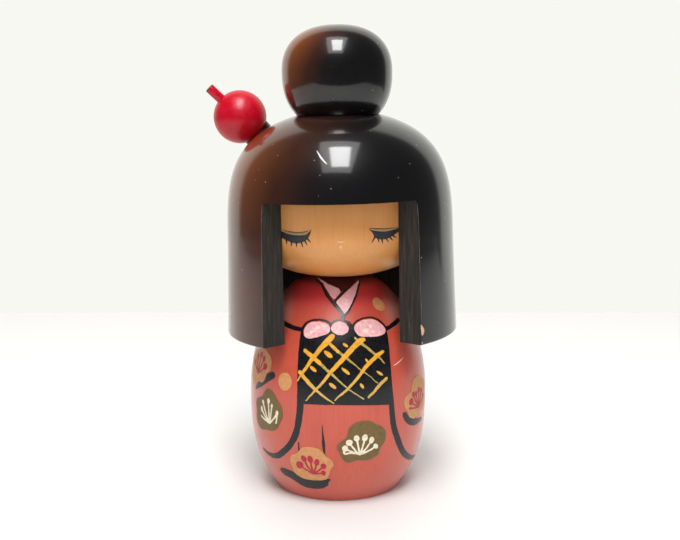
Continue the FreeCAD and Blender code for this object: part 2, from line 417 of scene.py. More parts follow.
def peg_wood():
    """Birch dowel, straight-grained and left plain: pale and dull."""
    material, tree = new_finish("birch_dowel_plain")

    # Birch fibres are finer; streaks of a third of a millimetre are the finest that show.
    fibre = add(tree, "TexNoise", None, {"Vector": (measured(tree, 0.3333, 10.0), "Vector"),
                                         "Scale": 1.0, "Detail": 4.0})
    tint = add(tree, "ValToRGB", {"stops": [(0.3, colour("c79a62")), (0.7, colour("e3c493"))]},
               {"Fac": (fibre, "Fac")})
    bump = add(tree, "Bump", None, {"Strength": 0.3, "Distance": 0.05 * MM, "Height": (fibre, "Fac")})
    close_finish(tree, {"Base Color": (tint, "Color"), "Roughness": 0.65, "IOR": 1.5,
                        "Normal": (bump, "Normal")})
    return material


def table_paint():
    """White emulsion rolled on a board: matt, with a faint speckle."""
    material, tree = new_finish("white_emulsion_paint_rolled")

    # A roller leaves a stipple of 1 to 3 mm; the coarse end of it is what shows.
    speckle = add(tree, "TexNoise", None, {"Vector": (measured(tree, 3.333, 3.333), "Vector"),
                                           "Scale": 1.0, "Detail": 4.0})
    bump = add(tree, "Bump", None, {"Strength": 0.1, "Distance": 0.1 * MM, "Height": (speckle, "Fac")})
    close_finish(tree, {"Base Color": colour("e3e2e0"), "Roughness": 0.6, "Normal": (bump, "Normal")})
    return material


FACE_WOOD = face_wood()
RED_DYE_WITH_PAINTED_SHADE = stained_wood_with_painted_shade()
LACQUER = hair_lacquer("wood_lacquered_black_and_polished", 0.08)
BUN_LACQUER = hair_lacquer("topknot_lacquered_black_and_polished", 0.24)
SAWN = sawn_hair()
PEG = peg_wood()

# Poster paints and pale touches, from the body up to the face. The lapels' lighter pink is painted light,
# the maroon's darkness is partly painted shade, and the grey-brown over the eyes is a painted highlight.
BLACK_PAINT = brushed("black_poster_paint_brushed", "101014", "131317", "17171b", 0.3, 0.03)
GOLD_PAINT = brushed("ochre_poster_paint_brushed", "cc8f24", "e2a226", "e8b244", 0.45, 0.1, "c8aa66")
THIN_GOLD_PAINT = brushed("ochre_poster_paint_nearly_dry_brush", "8a7a3c", "b29a4c", "d0b460", 0.5, 0.1,
                          "bcaa6c")
PINK_PAINT = brushed("pink_poster_paint_brushed", "e498a0", "eeb2b6", "f3cccc", 0.42)
LIT_PINK_PAINT = brushed("pink_poster_paint_with_painted_light", "f0aab4", "f8c0c8", "fcd8da", 0.42)
DOT_PAINT = brushed("pale_pink_poster_paint_dabbed", "ecc8bc", "f4d6cc", "f8e2da", 0.5)
MAROON_PAINT_WITH_SHADE = brushed("maroon_poster_paint_with_painted_shade", "380c14", "480f18", "5a1a20", 0.45)
TAN_PAINT = brushed("tan_poster_paint_brushed", "c28650", "cc905c", "d69c6a", 0.5)
OLIVE_PAINT = brushed("olive_poster_paint_brushed", "66502a", "705a30", "7a643a", 0.5)
CREAM_PAINT = brushed("cream_poster_paint_brushed", "dccfae", "eee2c8", "f8f0dc", 0.5)
CRIMSON_PAINT = brushed("crimson_poster_paint_brushed", "a01830", "b41c38", "c02c44", 0.42)
EYE_PAINT = brushed("grey_black_paint_brushed", "1e2024", "26282c", "34373b", 0.42)
EYE_GLARE_PAINT = brushed("grey_brown_paint_as_painted_glare", "82765a", "8c8062", "988c6c", 0.5)
PALE_PAINT = brushed("pale_skin_paint_brushed", "e0ac78", "e8b888", "eec296", 0.5)

# The hairpin's smooth dipped paint and its browner end, painted highlights on the hair's gouge and saw-cut
# edges, and wear.
PIN_PAINT = brushed("red_lacquer_paint_dipped", "b4001c", "bc0422", "c40a2a", 0.34, 0.01)
BROWN_END_PAINT = brushed("red_lacquer_paint_browner_at_the_end", "6a241c", "7c2c22", "8e3a2c", 0.5)
GOUGE_EDGE_HIGHLIGHT = brushed("painted_highlight_on_a_gouge_edge", "d8d2c8", "e6e2dc", "f2f0ec", 0.4)
BARE_WOOD = brushed("wood_bared_by_a_chip", "c89868", "dab080", "e8c8a0", 0.6)
SAW_EDGE_HIGHLIGHT = brushed("painted_highlight_along_an_edge", "3c3a38", "54504c", "6e6862", 0.45)

# ---------------------------------------------------------------------------------------------
# Meshes.
# ---------------------------------------------------------------------------------------------


def make_piece(name, points, faces, materials, body, node=None, sharp=35.0):
    """A smooth-shaded mesh piece from points in mm, riding on a CAD body."""
    mesh = bpy.data.meshes.new(name)
    mesh.from_pydata([Vector(p) * MM for p in points], [], faces)
    piece = bpy.data.objects.new(name, mesh)
    bpy.context.scene.collection.objects.link(piece)
    for material in materials:
        mesh.materials.append(material)
    mesh.shade_smooth()
    mesh.set_sharp_from_angle(angle=math.radians(sharp))
    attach(piece, body)
    if node:
        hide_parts(node)
    return piece


def lathe(outline, segments=256):
    """Points and faces of a solid turned from (radius, height) points that start and end on the axis."""
    points = []
    rows = []
    for radius, height in outline:
        if radius < 1e-6:
            rows.append([len(points)])
            points.append((0.0, 0.0, height))
            continue
        rows.append(list(range(len(points), len(points) + segments)))
        for k in range(segments):
            angle = 2 * math.pi * k / segments
            points.append((radius * math.sin(angle), -radius * math.cos(angle), height))
    faces = []
    for low, high in zip(rows, rows[1:]):
        for k in range(segments):
            after = (k + 1) % segments
            if len(low) == 1:
                faces.append((low[0], high[after], high[k]))
            elif len(high) == 1:
                faces.append((low[k], low[after], high[0]))
            else:
                faces.append((low[k], low[after], high[after], high[k]))
    return points, faces


def ring(outline, segments=256):
    """Points and faces of a solid turned from a closed (radius, height) outline off the axis."""
    points = []
    for radius, height in outline:
        for k in range(segments):
            angle = 2 * math.pi * k / segments
            points.append((radius * math.sin(angle), -radius * math.cos(angle), height))
    faces = []
    for row in range(len(outline)):
        low, high = row * segments, (row + 1) % len(outline) * segments
        for k in range(segments):
            after = (k + 1) % segments
            faces.append((low + k, low + after, high + after, high + k))
    return points, faces


def quarter_round(radius, low, rounding, steps):
    """(radius, height) points of a rounded lower edge that ends on the side at radius."""
    points = []
    for k in range(steps + 1):
        angle = math.pi / 2 * k / steps
        points.append((radius - rounding * (1 - math.sin(angle)), low + rounding * (1 - math.cos(angle))))
    return points


def make_body():
    """The barrel body with its dowel hole."""
    foot = [(0.0, 0.0), (6.0, 0.0), (12.0, 0.0)]
    foot += quarter_round(body_radius(FOOT_ROUNDING), 0.0, FOOT_ROUNDING, 6)
    skin = spaced(body_radius, FOOT_ROUNDING, BODY_TOP, 0.6)[1:]
    hole = [(6.0, BODY_TOP), (DOWEL_HOLE_RADIUS, BODY_TOP), (DOWEL_HOLE_RADIUS, BODY_HOLE_BOTTOM),
            (0.0, BODY_HOLE_BOTTOM)]
    points, faces = lathe(foot + skin + hole)
    return make_piece("body_turned", points, faces, [RED_DYE_WITH_PAINTED_SHADE], "body", "body")


def make_face():
    """The face core, closed at the top; it leans, and the dowel hole in it stays upright."""
    hole = [(0.0, FACE_HOLE_TOP), (DOWEL_HOLE_RADIUS, FACE_HOLE_TOP), (DOWEL_HOLE_RADIUS, FACE_LOW)]
    skin = spaced(face_radius, FACE_LOW, FACE_TOP, 0.5)
    upright, faces = lathe(hole + skin + [(12.0, FACE_TOP), (0.0, FACE_TOP)])
    in_hole = DOWEL_HOLE_RADIUS + 0.1
    points = [p if math.hypot(p[0], p[1]) < in_hole and p[2] < FACE_TOP else lean(p) for p in upright]
    return make_piece("face_core_turned", points, faces, [FACE_WOOD], "head", "head_core")


def make_bun():
    """The topknot."""
    skin = spaced(bun_radius, BUN_SEAT, BUN_MIDDLE + BUN_RISE, 0.4)
    upright, faces = lathe([(0.0, BUN_SEAT), (5.0, BUN_SEAT)] + skin)
    points = [lean(p) for p in upright]
    return make_piece("topknot_turned", points, faces, [BUN_LACQUER], "head", "hair_bun")


def cut_azimuth(radius):
    """How far round from the front the saw cut leaves a circle of this radius."""
    return CUT_HALF_ANGLE - math.asin(CUT_APEX * math.sin(CUT_HALF_ANGLE) / radius)


def on_circle(radius, azimuth, z):
    """A point on a circle round the axis; the azimuth is 0 in front and grows to the right."""
    return (radius * math.sin(azimuth), -radius * math.cos(azimuth), z)


BACK_COLUMNS = 200
FRONT_COLUMNS = 60
CUT_STEPS = 10


def make_cap():
    """The hair cap as one closed mesh: skin, bore, rim, saw cuts and the underside of the fringe.

    The back runs round from one saw cut to the other, and the front closes the ring above the fringe.
    Faces of kind 0 are lacquered and faces of kind 1 are sawn.
    """
    points = []
    index = {}

    def vertex(p):
        """The number of a point, shared by all faces that meet there."""
        key = tuple(round(c, 5) for c in p)
        if key not in index:
            index[key] = len(points)
            points.append(p)
        return index[key]

    faces = []
    kinds = []

    def sheet(rows, kind, flip=False):
        """Joins rows of points into faces of one kind, leaving out corners that fall together."""
        for low, high in zip(rows, rows[1:]):
            for a, b, c, d in zip(low, low[1:], high[1:], high):
                face = [vertex(p) for p in (a, b, c, d)]
                face = [v for n, v in enumerate(face) if v not in face[:n]]
                if len(face) > 2:
                    faces.append(face[::-1] if flip else face)
                    kinds.append(kind)

    def arc(radius, z, start, span, columns):
        return [on_circle(radius, start + span * k / columns, z) for k in range(columns + 1)]

    def back_row(radius, z, edge_radius=None):
        edge = cut_azimuth(edge_radius or radius)
        return arc(radius, z, edge, 2 * (math.pi - edge), BACK_COLUMNS)

    def front_row(radius, z, edge_radius=None):
        edge = cut_azimuth(edge_radius or radius)
        return arc(radius, z, -edge, 2 * edge, FRONT_COLUMNS)

    def disc(rows, z, flip=False):
        """Closes a flat top or ceiling from its edge to its centre."""
        centre = vertex((0.0, 0.0, z))
        for row in rows:
            for a, b in zip(row, row[1:]):
                faces.append([vertex(b), vertex(a), centre] if flip else [vertex(a), vertex(b), centre])
                kinds.append(1)

    rim = quarter_round(cap_radius(CAP_RIM), CAP_RIM, RIM_ROUNDING, 5)
    lower = rim + spaced(cap_radius, CAP_RIM + RIM_ROUNDING, FRINGE, 0.8)[1:]
    upper = spaced(cap_radius, FRINGE, CAP_SEAT, 0.5)
    fringe_radius = cap_radius(FRINGE)
    steps = [k / CUT_STEPS for k in range(CUT_STEPS + 1)]

    sheet([back_row(r, z) for r, z in lower], 0)
    sheet([back_row(r, z, fringe_radius) for r, z in upper], 0)
    sheet([front_row(r, z, fringe_radius) for r, z in upper], 0)
    seat_radius = upper[-1][0]
    disc([back_row(seat_radius, CAP_SEAT, fringe_radius), front_row(seat_radius, CAP_SEAT, fringe_radius)],
         CAP_SEAT)

    def between(outer, inner, share):
        return tuple(a + (b - a) * share for a, b in zip(outer, inner))

    def saw_face(side):
        rows = []
        for radius, z in lower:
            outer = on_circle(radius, side * cut_azimuth(radius), z)
            inner = on_circle(CAP_BORE, side * cut_azimuth(CAP_BORE), z)
            rows.append([between(outer, inner, s) for s in steps])
        return rows

    sheet(saw_face(1), 1, flip=True)
    sheet(saw_face(-1), 1)

    outer_rim = back_row(lower[0][0], CAP_RIM)
    inner_rim = back_row(CAP_BORE, CAP_RIM)
    sheet([[between(a, b, s) for a, b in zip(outer_rim, inner_rim)] for s in steps], 1, flip=True)
    outer_fringe = front_row(fringe_radius, FRINGE)
    inner_fringe = front_row(CAP_BORE, FRINGE)
    sheet([[between(a, b, s) for a, b in zip(outer_fringe, inner_fringe)] for s in steps], 1, flip=True)

    bore_rows = [CAP_RIM] + [z for r, z in lower[1:]]
    sheet([back_row(CAP_BORE, z) for z in bore_rows], 1, flip=True)
    for row in (back_row, front_row):
        sheet([row(CAP_BORE, z) for z in (FRINGE, CAP_BORE_TOP)], 1, flip=True)
    disc([back_row(CAP_BORE, CAP_BORE_TOP), front_row(CAP_BORE, CAP_BORE_TOP)], CAP_BORE_TOP, flip=True)

    points = [lean(p) for p in points]
    piece = make_piece("hair_cap_turned", points, faces, [LACQUER, SAWN], "head",
                       "hair_cap")
    for polygon, kind in zip(piece.data.polygons, kinds):
        polygon.material_index = kind
    bevel = piece.modifiers.new("eased_edges", "BEVEL")
    bevel.width = EASED_EDGE * MM
    bevel.segments = 3
    bevel.limit_method = "ANGLE"
    bevel.angle_limit = math.radians(40)
    bevel.harden_normals = True
    return piece


def along_pin(points):
    """Turns points made about the Z axis so that they lie about the hairpin's axis."""
    turn = PIN_OUT.to_track_quat("Z", "Y").to_matrix()
    return [turn @ Vector(p) + BEAD_CENTRE for p in points]


def make_bead():
    """The painted ball, drilled for the stick."""
    hole = STICK_RADIUS + 0.02
    hole_depth = 1.0
    steps = 96
    first = math.asin(hole / BEAD_RADIUS)
    skin = []
    for k in range(steps + 1):
        angle = first + (math.pi - 2 * first) * k / steps
        skin.append((BEAD_RADIUS * math.sin(angle), -BEAD_RADIUS * math.cos(angle)))
    lower, upper = skin[0][1] + hole_depth, skin[-1][1] - hole_depth
    points, faces = lathe([(0.0, lower), (hole, lower)] + skin + [(hole, upper), (0.0, upper)], 128)
    return make_piece("hairpin_ball", along_pin(points), faces, [PIN_PAINT], "hairpin",
                      "hairpin_bead")


def make_stick():
    """The round stick with softened ends; its paint is darker and browner on the outer end."""
    soft = STICK_SOFTENING
    outline = [(0.0, -STICK_INNER), (STICK_RADIUS - soft, -STICK_INNER), (STICK_RADIUS, soft - STICK_INNER)]
    outline += [(STICK_RADIUS, z) for z in (-10.0, -5.0, 0.0, 5.0, 8.0)]
    outline += [(STICK_RADIUS, STICK_OUTER - soft), (STICK_RADIUS - 0.3 * soft, STICK_OUTER - 0.3 * soft),
                (STICK_RADIUS - soft, STICK_OUTER), (0.0, STICK_OUTER)]
    points, faces = lathe(outline, 48)
    piece = make_piece("hairpin_stick_round", along_pin(points), faces, [PIN_PAINT, BROWN_END_PAINT], "hairpin",
                       "hairpin_stick", 50.0)
    # The outer end takes the darker brown paint.
    brown_from = BEAD_CENTRE.dot(PIN_OUT) + STICK_OUTER - 1.2 * soft
    for polygon in piece.data.polygons:
        if polygon.center.dot(PIN_OUT) / MM > brown_from:
            polygon.material_index = 1
    return piece


def make_pin_seat():
    """A ring of black paint round the hairpin's hole, just under the ball."""
    low = -BEAD_RADIUS - 0.9
    hole = STICK_RADIUS + 0.15
    # Out along the underside to the lip, then back in to the hole at a small gap under the ball.
    outline = [(hole, low), (3.3, low - 0.25), (3.85, low + 0.3)]
    outline += [(r, -math.sqrt(BEAD_RADIUS ** 2 - r ** 2) - gap)
                for r, gap in ((3.95, 0.25), (3.8, 0.1), (3.1, 0.08), (2.2, 0.08), (hole, 0.15))]
    points, faces = ring(outline, 96)
    return make_piece("hairpin_seat_ring", along_pin(points), faces, [BLACK_PAINT], "head")


def finish_pegs():
    """Plain wood on the two dowels, which keep their CAD shape."""
    for peg in ("neck_dowel", "bun_dowel"):
        frame["nodes"][peg].data.materials.clear()
        frame["nodes"][peg].data.materials.append(PEG)


# ---------------------------------------------------------------------------------------------
# Brush painting. A place on a turned surface is (u, z): u is mm round the surface from the
# front, measured at its reference radius, and z is the height in mm.
# ---------------------------------------------------------------------------------------------
SLOPE_STEP = 0.01
FILM = 0.05
SKIRT_DEPTH = 0.03
THINNEST_STROKE = 0.08


class Surface:
    """A turned surface that paint is laid on: its outline and the body that it rides; its slot is not used.
    """

    def __init__(self, radius, reference, leans, body, slot):
        self.radius = radius
        self.reference = reference
        self.leans = leans
        self.body = body
        self.slot = slot

    def at(self, u, z, lift):
        """The point lift mm above the surface."""
        angle = u / self.reference
        radius = self.radius(z)
        slope = self.slope(z)
        length = math.hypot(1.0, slope)
        out = radius + lift / length
        place = (out * math.sin(angle), -out * math.cos(angle), z - lift * slope / length)
        return lean(place) if self.leans else place

    def slope(self, z):
        """Change of radius per mm of height."""
        return (self.radius(z + SLOPE_STEP) - self.radius(z - SLOPE_STEP)) / (2 * SLOPE_STEP)

    def scale(self, z):
        """Real mm per mm of u and of z at this height."""
        return self.radius(z) / self.reference, math.hypot(1.0, self.slope(z))


KIMONO = Surface(body_radius, BELLY_RADIUS, False, "body", "painted_body")
FACE = Surface(face_radius, FACE_RADIUS, True, "head", "face_wood")
HAIR = Surface(cap_radius, CAP_SIDE_RADIUS, True, "head", "hair_lacquer")


def curve_through(points, closed, step=0.35):
    """Catmull-Rom points through tuples of any length, spaced about step mm."""
    count = len(points)
    result = []
    spans = count if closed else count - 1
    for k in range(spans):
        if closed:
            p = [points[(k + j - 1) % count] for j in range(4)]
        else:
            p = [points[min(max(k + j - 1, 0), count - 1)] for j in range(4)]
        length = math.dist(p[1][:2], p[2][:2])
        steps = max(1, round(length / step))
        for s in range(steps):
            t = s / steps
            result.append(tuple(
                0.5 * (2 * b + (c - a) * t + (2 * a - 5 * b + 4 * c - d) * t * t
                       + (3 * b - 3 * c + d - a) * t ** 3)
                for a, b, c, d in zip(*p)))
    if not closed:
        result.append(points[-1])
    return result


def stroke(surface, points, step=0.3):
    """The outline of a brush stroke through (u, z, width) points, with round ends."""
    line = curve_through(points, False, step)
    left, right = [], []
    for k, (u, z, width) in enumerate(line):
        before = line[max(k - 1, 0)]
        after = line[min(k + 1, len(line) - 1)]
        su, sz = surface.scale(z)
        du, dz = (after[0] - before[0]) * su, (after[1] - before[1]) * sz
        length = math.hypot(du, dz) or 1.0
        half = max(width, THINNEST_STROKE) / 2
        left.append((u - dz / length * half / su, z + du / length * half / sz))
        right.append((u + dz / length * half / su, z - du / length * half / sz))

    def round_end(centre, start, finish):
        su, sz = surface.scale(centre[1])
        a = math.atan2((start[1] - centre[1]) * sz, (start[0] - centre[0]) * su)
        radius = max(centre[2], THINNEST_STROKE) / 2
        ends = []
        for k in range(1, 6):
            angle = a - math.pi * k / 6
            ends.append((centre[0] + radius * math.cos(angle) / su,
                         centre[1] + radius * math.sin(angle) / sz))
        return ends

    return left + round_end(line[-1], left[-1], right[-1]) + right[::-1] \
        + round_end(line[0], right[0], left[0])


def ellipse(surface, u, z, width, height, turn=0.0):
    """The outline of a touch of the brush: an ellipse in real mm, turned by degrees."""
    su, sz = surface.scale(z)
    a = math.radians(turn)
    outline = []
    for k in range(20):
        angle = 2 * math.pi * k / 20
        x, y = width / 2 * math.cos(angle), height / 2 * math.sin(angle)
        outline.append((u + (x * math.cos(a) - y * math.sin(a)) / su,
                        z + (x * math.sin(a) + y * math.cos(a)) / sz))
    return outline


def inside(point, outline):
    """True if a point lies inside a closed outline."""
    x, y = point
    odd = False
    for (x0, y0), (x1, y1) in zip(outline, outline[1:] + outline[:1]):
        if (y0 > y) != (y1 > y) and x < (x1 - x0) * (y - y0) / (y1 - y0) + x0:
            odd = not odd
    return odd


def hand(outline, amount, seed):
    """Shakes an outline a little, as a hand does."""
    shaken = []
    for u, z in outline:
        place = Vector((u * 0.9, z * 0.9, seed * 7.3))
        shaken.append((u + amount * noise.noise(place),
                       z + amount * noise.noise(place + Vector((31, 17, 5)))))
    return shaken


def paint(name, surface, outlines, material, lift, shake=0.08, spacing=0.9):
    """Lays closed outlines on a surface as a film of paint, lift mm thick, with a skirt at its edge.

    shake is how far the hand wanders and spacing is that of the points inside, both in mm.
    """
    points, faces = [], []
    for number, outline in enumerate(outlines):
        outline = hand(outline, shake, number + lift)
        us = [u for u, z in outline]
        zs = [z for u, z in outline]
        flat = list(outline)
        for a in range(int((max(us) - min(us)) / spacing) + 1):
            for b in range(int((max(zs) - min(zs)) / spacing) + 1):
                spot = (min(us) + (a + 0.5) * spacing, min(zs) + (b + 0.5) * spacing)
                near = min(math.dist(spot, edge) for edge in outline)
                if near > 0.35 * spacing and inside(spot, outline):
                    flat.append(spot)
        verts, _, tris, _, _, _ = delaunay_2d_cdt(
            [Vector(p) for p in flat], [], [list(range(len(outline)))], 1, 1e-5)
        base = len(points)
        points += [surface.at(v.x, v.y, lift) for v in verts]
        edge_use = {}
        for tri in tris:
            faces.append([base + v for v in tri])
            for a, b in zip(tri, tri[1:] + tri[:1]):
                edge_use[(a, b)] = edge_use.get((a, b), 0) + 1
        skirt = {}
        for a, b in [e for e in edge_use if (e[1], e[0]) not in edge_use]:
            for v in (a, b):
                if v not in skirt:
                    skirt[v] = len(points)
                    points.append(surface.at(verts[v].x, verts[v].y, -SKIRT_DEPTH))
            faces.append([base + b, base + a, skirt[a], skirt[b]])
    return make_piece(name, points, faces, [material], surface.body, None, 75.0)


def blossom_stamens(surface, base, heads, stem):
    """Stamens: a stem from the base to each (u, z, width, height, turn) head, and the head itself."""
    outlines = []
    for u, z, width, height, turn in heads:
        middle = ((base[0] * 0.45 + u * 0.55), (base[1] * 0.55 + z * 0.45), stem)
        outlines.append(stroke(surface, [(u, z, stem), middle, (base[0], base[1], stem * 1.1)]))
        outlines.append(ellipse(surface, u, z, width, height, turn))
    return outlines


def paint_kimono():
    """Collar, bow, sash, sleeve lines and plum blossoms."""
    # The under-collar is painted maroon, and its near-black darkness is painted shade under the chin.
    collar_inside = curve_through([
        (-14.0, 55.62), (-9.5, 55.2), (-5, 54.6), (-1, 53.9), (1.6, 53.2), (4.5, 53.3), (8, 54.2),
        (11, 55.0), (11, 55.6), (0, 55.66), (-10, 55.66)], True)
    paint("collar_under_kimono", KIMONO, [collar_inside], MAROON_PAINT_WITH_SHADE, FILM * 0.7, 0.08, 0.5)
    # Painted light: the lapels take a lighter pink than the bow, standing in for light falling on them.
    left_lapel = curve_through([
        (-16.5, 55.6), (-10, 55.1), (-6, 54.5), (-2.5, 54.1), (0.2, 53.7), (1.2, 53.1), (0.2, 52.4),
        (-1.4, 51.6), (-3.2, 52.1), (-5.5, 53.3), (-9, 54.5), (-13, 55.2)], True)
    right_lapel = curve_through([
        (14, 55.0), (10.5, 54.5), (7, 53.8), (3.8, 52.9), (1.2, 51.9), (-0.5, 51.0), (-0.6, 50.3),
        (0.8, 49.5), (2.4, 48.3), (3.4, 48.8), (5, 50.2), (7, 51.7), (9.5, 53.1), (12, 54.2)], True)
    paint("collar_lapels", KIMONO, [left_lapel, right_lapel], LIT_PINK_PAINT, FILM * 1.2)
    collar_lines = [
        stroke(KIMONO, [(-15, 55.1, 0.5), (-10, 54.5, 0.7), (-7, 53.4, 0.8), (-4.5, 52.1, 0.9),
                        (-2, 50.7, 0.8), (0, 49.3, 0.7), (1.3, 48.1, 0.7), (1.7, 46.9, 0.5)]),
        stroke(KIMONO, [(15, 55.0, 0.4), (11.5, 53.9, 0.5), (8.5, 52.3, 0.5), (6, 50.6, 0.5),
                        (4, 49.0, 0.5), (2.4, 47.9, 0.6), (1.7, 46.9, 0.5)]),
        stroke(KIMONO, [(-11, 55.35, 0.3), (-5, 54.7, 0.35), (0, 53.9, 0.35), (1.7, 53.2, 0.4)]),
        stroke(KIMONO, [(13, 55.25, 0.3), (9, 54.6, 0.4), (5, 53.5, 0.5), (2.5, 52.8, 0.7), (0, 51.7, 0.7),
                        (-1.2, 50.8, 0.7), (0.2, 49.7, 0.6), (1.5, 48.6, 0.6)])]
    sash_edges = [
        [(-11.6, 44.4), (-11.2, 40), (-10.8, 36), (-10.5, 32), (-10.4, 28.5), (-10.4, 27.0)],
        [(-10.3, 26.9), (-4, 27.05), (0, 27.1), (5, 26.9), (10, 26.5), (14.7, 26.0)],
        [(14.8, 26.3), (14.5, 30), (14.5, 34), (14.9, 38), (15.6, 42), (15.9, 43.9)],
        [(15.5, 44.2), (10, 44.4), (5, 45.6), (3.5, 46.1), (0, 45.2), (-2.4, 45.6), (-6, 44.4),
         (-11.3, 44.6)]]
    sash = [point for edge in sash_edges for point in curve_through(edge, False)]
    sleeve_lines = [
        stroke(KIMONO, [(-9.45, 28, 1.9), (-9.6, 25, 1.8), (-10.4, 20.5, 1.7), (-11.4, 17.8, 1.7),
                        (-13.2, 15.2, 1.6), (-15.4, 13.2, 1.6), (-18, 11.6, 1.5), (-21, 11.1, 1.2),
                        (-24.4, 11.8, 0.7)]),
        stroke(KIMONO, [(13.9, 28, 1.5), (14.2, 25, 1.6), (15, 20, 1.7), (17.2, 15.2, 1.7),
                        (19.5, 12.2, 1.6), (22, 10.4, 1.5), (25, 9.1, 1.4), (28, 8.3, 1.1),
                        (31, 7.8, 0.7)])]
    bands = [
        stroke(KIMONO, [(-11.2, 44.4, 1.0), (-14, 44.5, 1.1), (-17.5, 44.9, 1.2), (-20.5, 45.3, 1.2)]),
        stroke(KIMONO, [(15.4, 44.1, 0.9), (17.6, 44.4, 1.0), (20.5, 45.0, 1.1), (23, 45.4, 1.1)])]
    pleats = [
        stroke(KIMONO, [(-3.9, 22, 0.15), (-3.75, 19.5, 0.4), (-3.55, 17, 0.75), (-3.45, 14.4, 0.5)]),
        stroke(KIMONO, [(-10.2, 16.8, 0.25), (-10.2, 14.8, 0.45)])]
    paint("sash_and_sleeve_lines", KIMONO, [sash] + sleeve_lines + bands + pleats, BLACK_PAINT, FILM)
    paint("collar_lines", KIMONO, collar_lines, BLACK_PAINT, FILM * 1.8)

    bow = [
        curve_through([(-10.6, 44.4), (-9.6, 45.8), (-7.5, 46.4), (-5, 46.35), (-3.1, 45.9), (-2.4, 45),
                       (-2.9, 44.0), (-5, 43.3), (-7, 42.8), (-9, 42.6), (-10.2, 43.1)], True),
        curve_through([(-2.2, 45.1), (-1.2, 46.2), (0.6, 46.6), (2.2, 46.2), (3.2, 45.3), (3.0, 44.3),
                       (2, 43.8), (0.3, 43.6), (-1.2, 44.1)], True),
        curve_through([(5.0, 45.2), (6.2, 46.1), (8.3, 46.7), (11, 46.75), (13.5, 46.0), (15.2, 44.6),
                       (15.0, 43.3), (12.5, 42.8), (9.5, 42.9), (6.6, 43.2), (5.4, 44.1)], True)]
    paint("bow_loops", KIMONO, bow, PINK_PAINT, FILM * 2.2)
    bow_lines = [
        stroke(KIMONO, [(-11.3, 44.7, 0.8), (-10.2, 46.1, 0.5), (-7.5, 46.85, 0.45), (-5, 46.85, 0.5),
                        (-3, 46.4, 0.6), (-2.2, 45.7, 0.7)]),
        stroke(KIMONO, [(-2.3, 45.8, 0.5), (-1.2, 46.7, 0.45), (0.7, 47.05, 0.5), (2.5, 46.7, 0.6),
                        (3.8, 45.9, 1.0), (4.1, 44.6, 1.3), (3.9, 43.3, 1.2)]),
        stroke(KIMONO, [(4.8, 45.7, 0.5), (6.2, 46.6, 0.4), (8.5, 47.1, 0.35), (11.2, 47.15, 0.35),
                        (13.9, 46.4, 0.45), (15.7, 44.8, 0.6)])]
    paint("bow_lines", KIMONO, bow_lines, BLACK_PAINT, FILM * 2.0)
    bow_dots = [ellipse(KIMONO, u, z, w, h) for u, z, w, h in (
        (-6.2, 45.1, 1.2, 0.9), (8.5, 44.3, 1.3, 1.0), (10.5, 45.2, 1.1, 0.9), (10.9, 43.9, 1.2, 0.8),
        (-8.2, 44.0, 1.0, 0.7))]
    paint("bow_dots", KIMONO, bow_dots, DOT_PAINT, FILM * 2.6, 0.15)

    lattice = [
        [(-1.7, 43.3, 1.3), (-3.2, 42.0, 1.5), (-4.8, 40.4, 1.2), (-6.8, 38, 1.0), (-8.9, 35, 0.7),
         (-9.8, 33.6, 0.5), (-10.4, 32.5, 0.35)],
        [(7.4, 42.4, 1.1), (6.2, 42.0, 1.5), (4.6, 41.0, 1.3), (2, 38.8, 1.2), (-1.5, 35.4, 0.9),
         (-3.6, 32.8, 0.65), (-5.5, 30.7, 0.55), (-8, 27.8, 0.25)],
        [(12.8, 39.1, 0.8), (10.6, 38.3, 1.0), (8, 36.6, 0.9), (6.3, 35, 0.8), (4, 32.6, 0.65),
         (2, 30.7, 0.55), (0.2, 29.2, 0.45), (-0.8, 28.3, 0.25)],
        [(12.8, 32.7, 0.8), (11, 31.6, 0.8), (9, 29.8, 0.65), (7.6, 28.7, 0.5)],
        [(-10.0, 34.6, 0.9), (-8, 32.8, 0.9), (-5.8, 30.9, 0.8), (-3.2, 29, 0.5), (-1, 27.5, 0.25)],
        [(-9.2, 39.8, 0.9), (-7, 38.5, 1.0), (-4.8, 37.1, 0.9)],
        [(-2.5, 41.8, 0.7), (0, 39.9, 0.8)]]
    thin_lattice = [
        [(-9.2, 39.8, 0.6), (-7, 38.5, 0.7), (-4.5, 36.9, 0.65), (-2, 34.9, 0.6), (0.2, 33.1, 0.45),
         (2.1, 31.4, 0.35), (4, 30, 0.25), (6.3, 28.4, 0.35)],
        [(-2.5, 41.8, 0.5), (0, 39.9, 0.7), (2.3, 38.3, 0.6), (4.3, 36.8, 0.35), (6.2, 35.2, 0.3),
         (8, 33.9, 0.2), (10.2, 31.9, 0.25)],
        [(5, 42.9, 0.5), (6.5, 41.7, 0.7), (8.3, 40.4, 0.7), (10.2, 38.8, 0.5), (11.5, 37.8, 0.4),
         (12.7, 36.4, 0.25)]]
    seeds = [(2.1, 41.3, 1.5, 0.7, -40), (-2.6, 39.2, 2.6, 1.0, -35), (-6.4, 35.6, 2.1, 0.85, -38),
             (2.0, 35.3, 2.6, 0.8, -42), (-1.3, 31.8, 2.1, 0.9, -38), (6.0, 31.6, 1.5, 0.7, -55),
             (11.0, 34.2, 2.0, 0.65, -35), (7.7, 37.5, 1.3, 0.6, -55)]
    gold = [stroke(KIMONO, points) for points in lattice] + [ellipse(KIMONO, *seed) for seed in seeds]
    paint("sash_lattice", KIMONO, gold, GOLD_PAINT, FILM * 2.2, 0.12)
    paint("sash_lattice_thin", KIMONO, [stroke(KIMONO, points) for points in thin_lattice], THIN_GOLD_PAINT,
          FILM * 1.8, 0.12)

